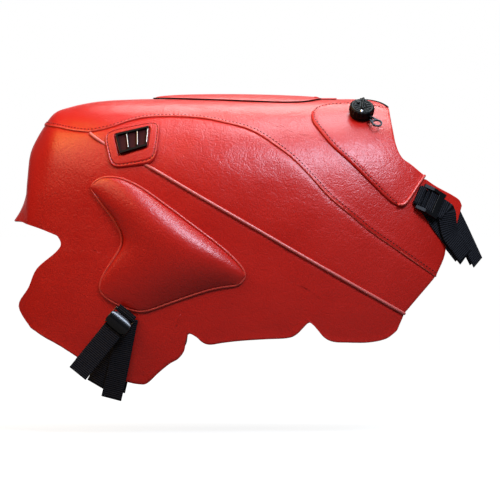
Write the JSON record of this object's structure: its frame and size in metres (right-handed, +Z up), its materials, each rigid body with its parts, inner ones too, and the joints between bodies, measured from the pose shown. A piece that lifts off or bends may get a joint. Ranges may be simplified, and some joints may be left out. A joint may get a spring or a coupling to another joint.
{
  "type": "fuel tank cover",
  "caption": "Fitted sewn leatherette cover for a motorcycle fuel tank, with padded knee cushions, a filler flap, webbing straps with ladder buckles and ringed bag clips.",
  "frame": {"origin": "middle of the open underside, on the middle plane, half way along, level with the lowest hem", "axes": "+X to the front of the motorcycle, +Y to its left, +Z up"},
  "size_m": [0.5692, 0.3298, 0.3701],
  "materials": {
    "leatherette": "glossy coated cloth",
    "pad_leatherette": "glossy coated cloth",
    "piping": "glossy coated cord",
    "foam": "open foam",
    "webbing": "woven",
    "binding": "woven tape",
    "black_plastic": "satin moulded",
    "red_mesh": "open mesh",
    "steel": "bright plated"
  },
  "bodies": {
    "cover": {"right_shoulder_panel": "leatherette", "right_side_panel": "leatherette", "right_lower_panel": "leatherette", "right_front_panel": "leatherette", "right_tongue": "leatherette", "right_knee_foam": "foam", "right_knee_cover": "pad_leatherette", "right_vent_patch": "leatherette", "right_vent_frame": "black_plastic", "right_vent_grille": "red_mesh", "right_shoulder_piping": "piping", "right_belt_piping": "piping", "right_belt_piping_rear": "piping", "right_front_piping": "piping", "right_knee_piping": "piping", "right_front_loop": "webbing", "right_front_strap_under": "webbing", "right_rear_loop": "webbing", "right_rear_strap_middle": "webbing", "right_rear_strap_under": "webbing", "right_clip_base": "black_plastic", "left_shoulder_panel": "leatherette", "left_side_panel": "leatherette", "left_lower_panel": "leatherette", "left_front_panel": "leatherette", "left_tongue": "leatherette", "left_knee_foam": "foam", "left_knee_cover": "pad_leatherette", "left_vent_patch": "leatherette", "left_vent_frame": "black_plastic", "left_vent_grille": "red_mesh", "left_shoulder_piping": "piping", "left_belt_piping": "piping", "left_belt_piping_rear": "piping", "left_front_piping": "piping", "left_knee_piping": "piping", "left_front_loop": "webbing", "left_front_strap_under": "webbing", "left_rear_loop": "webbing", "left_rear_strap_middle": "webbing", "left_rear_strap_under": "webbing", "left_clip_base": "black_plastic", "flap_hinge": "binding", "front_binding": "binding"},
    "flap": {"filler_flap": "leatherette", "flap_binding": "binding"},
    "right_front_buckle_body": {"right_front_buckle": "black_plastic"},
    "right_front_strap_body": {"right_front_strap": "webbing"},
    "right_rear_buckle_body": {"right_rear_buckle": "black_plastic"},
    "right_rear_strap_body": {"right_rear_strap": "webbing"},
    "right_clip_body_body": {"right_clip_body": "black_plastic"},
    "right_clip_button_body": {"right_clip_button": "steel"},
    "right_clip_ring_body": {"right_clip_ring": "steel"},
    "left_front_buckle_body": {"left_front_buckle": "black_plastic"},
    "left_front_strap_body": {"left_front_strap": "webbing"},
    "left_rear_buckle_body": {"left_rear_buckle": "black_plastic"},
    "left_rear_strap_body": {"left_rear_strap": "webbing"},
    "left_clip_body_body": {"left_clip_body": "black_plastic"},
    "left_clip_button_body": {"left_clip_button": "steel"},
    "left_clip_ring_body": {"left_clip_ring": "steel"}
  },
  "joints": [
    {"name": "flap_hinge_turn", "type": "hinge", "parent": "cover", "child": "flap", "pos_m": [0.1, 0, 0.34595], "axis": [0, 1, 0], "range_deg": [0, 85]},
    {"name": "right_front_buckle_tilt", "type": "hinge", "parent": "cover", "child": "right_front_buckle_body", "pos_m": [0.2215, -0.1117, 0.22457], "axis": [-0.3772, -0.4005, -0.8351], "range_deg": [0, 60]},
    {"name": "right_front_strap_slide", "type": "slide", "parent": "right_front_buckle_body", "child": "right_front_strap_body", "axis": [-0.7976, -0.3177, 0.5127], "range_m": [0, 0.006]},
    {"name": "right_rear_buckle_tilt", "type": "hinge", "parent": "cover", "child": "right_rear_buckle_body", "pos_m": [-0.13392, -0.13871, 0.08364], "axis": [-0.7771, 0, 0.6293], "range_deg": [0, 70]},
    {"name": "right_rear_strap_slide", "type": "slide", "parent": "right_rear_buckle_body", "child": "right_rear_strap_body", "axis": [0.6293, 0, 0.7771], "range_m": [0, 0.006]},
    {"name": "right_clip_turn", "type": "hinge", "parent": "cover", "child": "right_clip_body_body", "pos_m": [0.1493, -0.0856, 0.32325], "axis": [0.1247, -0.6106, 0.7821], "range_deg": [-40, 40]},
    {"name": "right_clip_button_press", "type": "slide", "parent": "right_clip_body_body", "child": "right_clip_button_body", "axis": [-0.1247, 0.6106, -0.7821], "range_m": [0, 0.0015], "stiffness_N_per_m": 300},
    {"name": "right_clip_ring_swing", "type": "hinge", "parent": "right_clip_body_body", "child": "right_clip_ring_body", "pos_m": [0.16069, -0.09776, 0.31935], "axis": [-0.7383, -0.5837, -0.338], "range_deg": [0, 95]},
    {"name": "left_front_buckle_tilt", "type": "hinge", "parent": "cover", "child": "left_front_buckle_body", "pos_m": [0.2215, 0.1117, 0.22457], "axis": [0.3772, -0.4005, 0.8351], "range_deg": [0, 60]},
    {"name": "left_front_strap_slide", "type": "slide", "parent": "left_front_buckle_body", "child": "left_front_strap_body", "axis": [-0.7976, 0.3177, 0.5127], "range_m": [0, 0.006]},
    {"name": "left_rear_buckle_tilt", "type": "hinge", "parent": "cover", "child": "left_rear_buckle_body", "pos_m": [-0.13392, 0.13871, 0.08364], "axis": [0.7771, 0, -0.6293], "range_deg": [0, 70]},
    {"name": "left_rear_strap_slide", "type": "slide", "parent": "left_rear_buckle_body", "child": "left_rear_strap_body", "axis": [0.6293, 0, 0.7771], "range_m": [0, 0.006]},
    {"name": "left_clip_turn", "type": "hinge", "parent": "cover", "child": "left_clip_body_body", "pos_m": [0.1493, 0.0856, 0.32325], "axis": [-0.1247, -0.6106, -0.7821], "range_deg": [-40, 40]},
    {"name": "left_clip_button_press", "type": "slide", "parent": "left_clip_body_body", "child": "left_clip_button_body", "axis": [-0.1247, -0.6106, -0.7821], "range_m": [0, 0.0015], "stiffness_N_per_m": 300},
    {"name": "left_clip_ring_swing", "type": "hinge", "parent": "left_clip_body_body", "child": "left_clip_ring_body", "pos_m": [0.16069, 0.09776, 0.31935], "axis": [0.7383, -0.5837, 0.338], "range_deg": [0, 95]}
  ]
}
